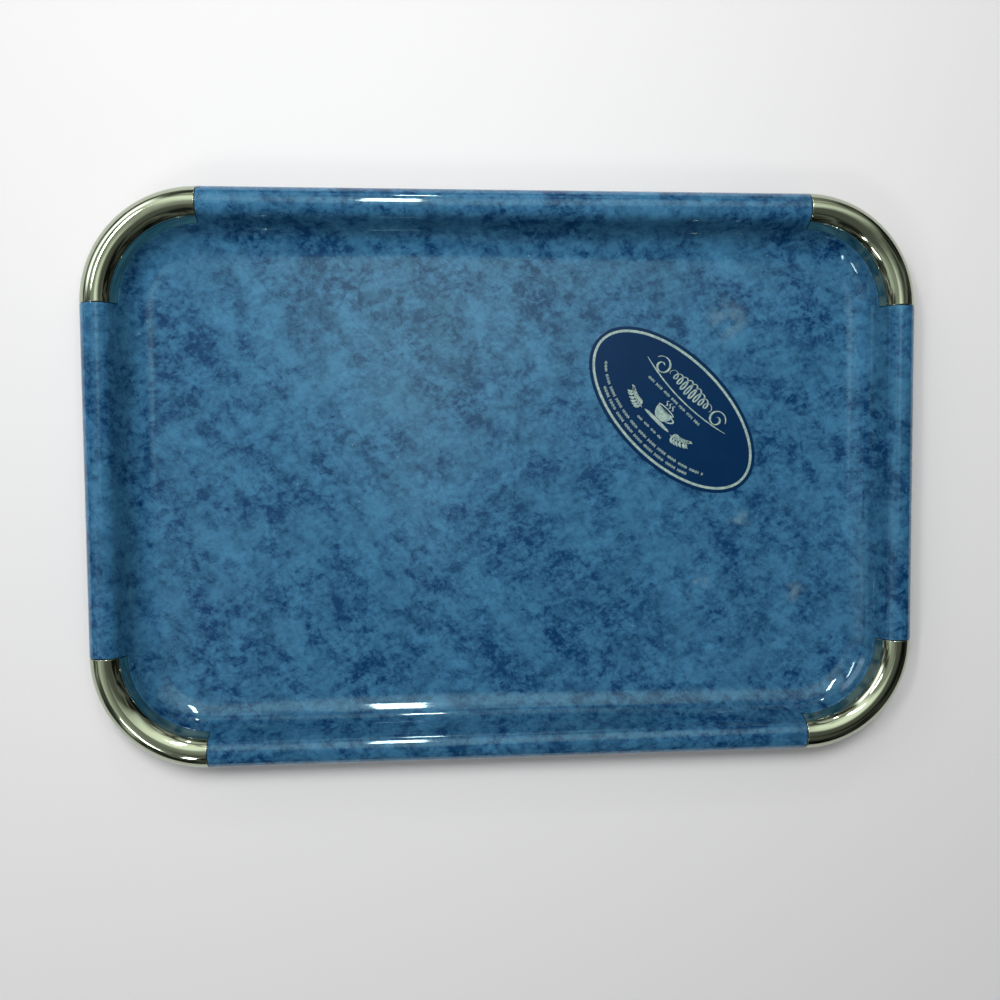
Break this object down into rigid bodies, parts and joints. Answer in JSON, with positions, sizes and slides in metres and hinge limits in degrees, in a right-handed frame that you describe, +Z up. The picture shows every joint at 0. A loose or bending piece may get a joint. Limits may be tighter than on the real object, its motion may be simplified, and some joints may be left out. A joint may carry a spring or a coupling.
{
  "type": "serving tray",
  "caption": "Rectangular serving tray with rounded corners, a rolled rim, coved walls, metallised corner caps and an oval label.",
  "frame": {"origin": "centre of the flat underside", "axes": "+X along the long side, +Y towards the rear long side, +Z up out of the tray"},
  "size_m": [0.45, 0.308, 0.0218],
  "materials": {
    "pan": "glossy moulding with a fine dark-blue mottled pattern",
    "caps": "polished metallised plastic with a pale gold tint",
    "label": "printed film with a satin gloss"
  },
  "bodies": {
    "root": {"tray_pan": "pan", "corner_cap_front_left": "caps", "corner_cap_front_right": "caps", "corner_cap_rear_left": "caps", "corner_cap_rear_right": "caps", "oval_label": "label"}
  },
  "joints": []
}
